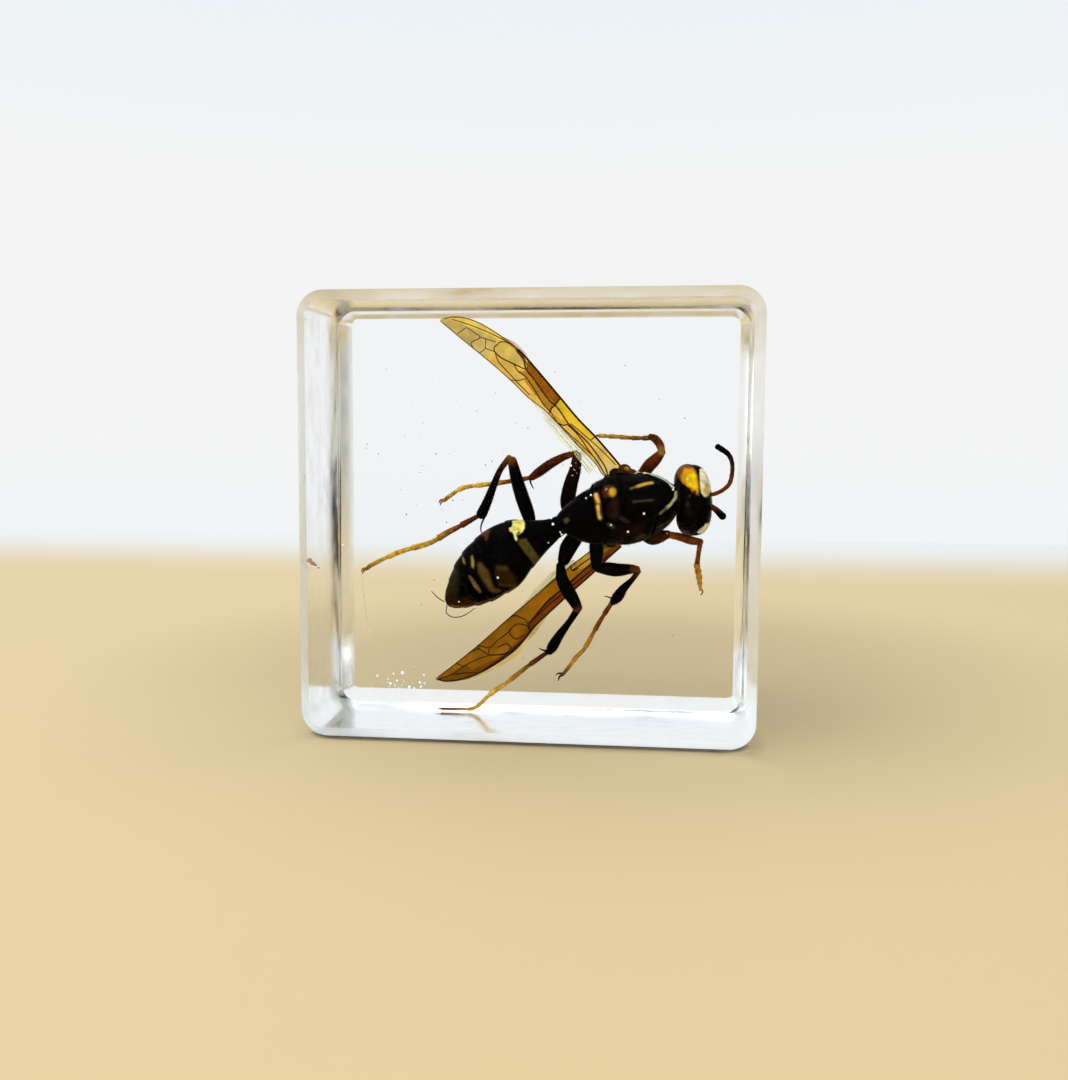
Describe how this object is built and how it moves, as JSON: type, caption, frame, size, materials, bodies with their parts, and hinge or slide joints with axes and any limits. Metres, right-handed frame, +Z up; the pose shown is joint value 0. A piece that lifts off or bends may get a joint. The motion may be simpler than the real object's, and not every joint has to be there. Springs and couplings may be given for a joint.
{
  "type": "insect in resin block",
  "caption": "Paper wasp with folded amber wings and spread legs, sealed in a clear upright resin block with rounded edges that stands on its narrow face.",
  "frame": {"origin": "centre of the block's bottom face, the narrow face it stands on", "axes": "+Z up; -Y out of the front face, through which the wasp's back is seen; +X towards the wasp's head, to the right seen from the front"},
  "size_m": [0.04, 0.022, 0.0392],
  "materials": {
    "clear_resin": "clear cast resin, polished",
    "wasp_shell": "glossy dark insect shell"
  },
  "bodies": {
    "root": {"resin_front": "clear_resin", "resin_back": "clear_resin", "wasp": "wasp_shell"}
  },
  "joints": []
}
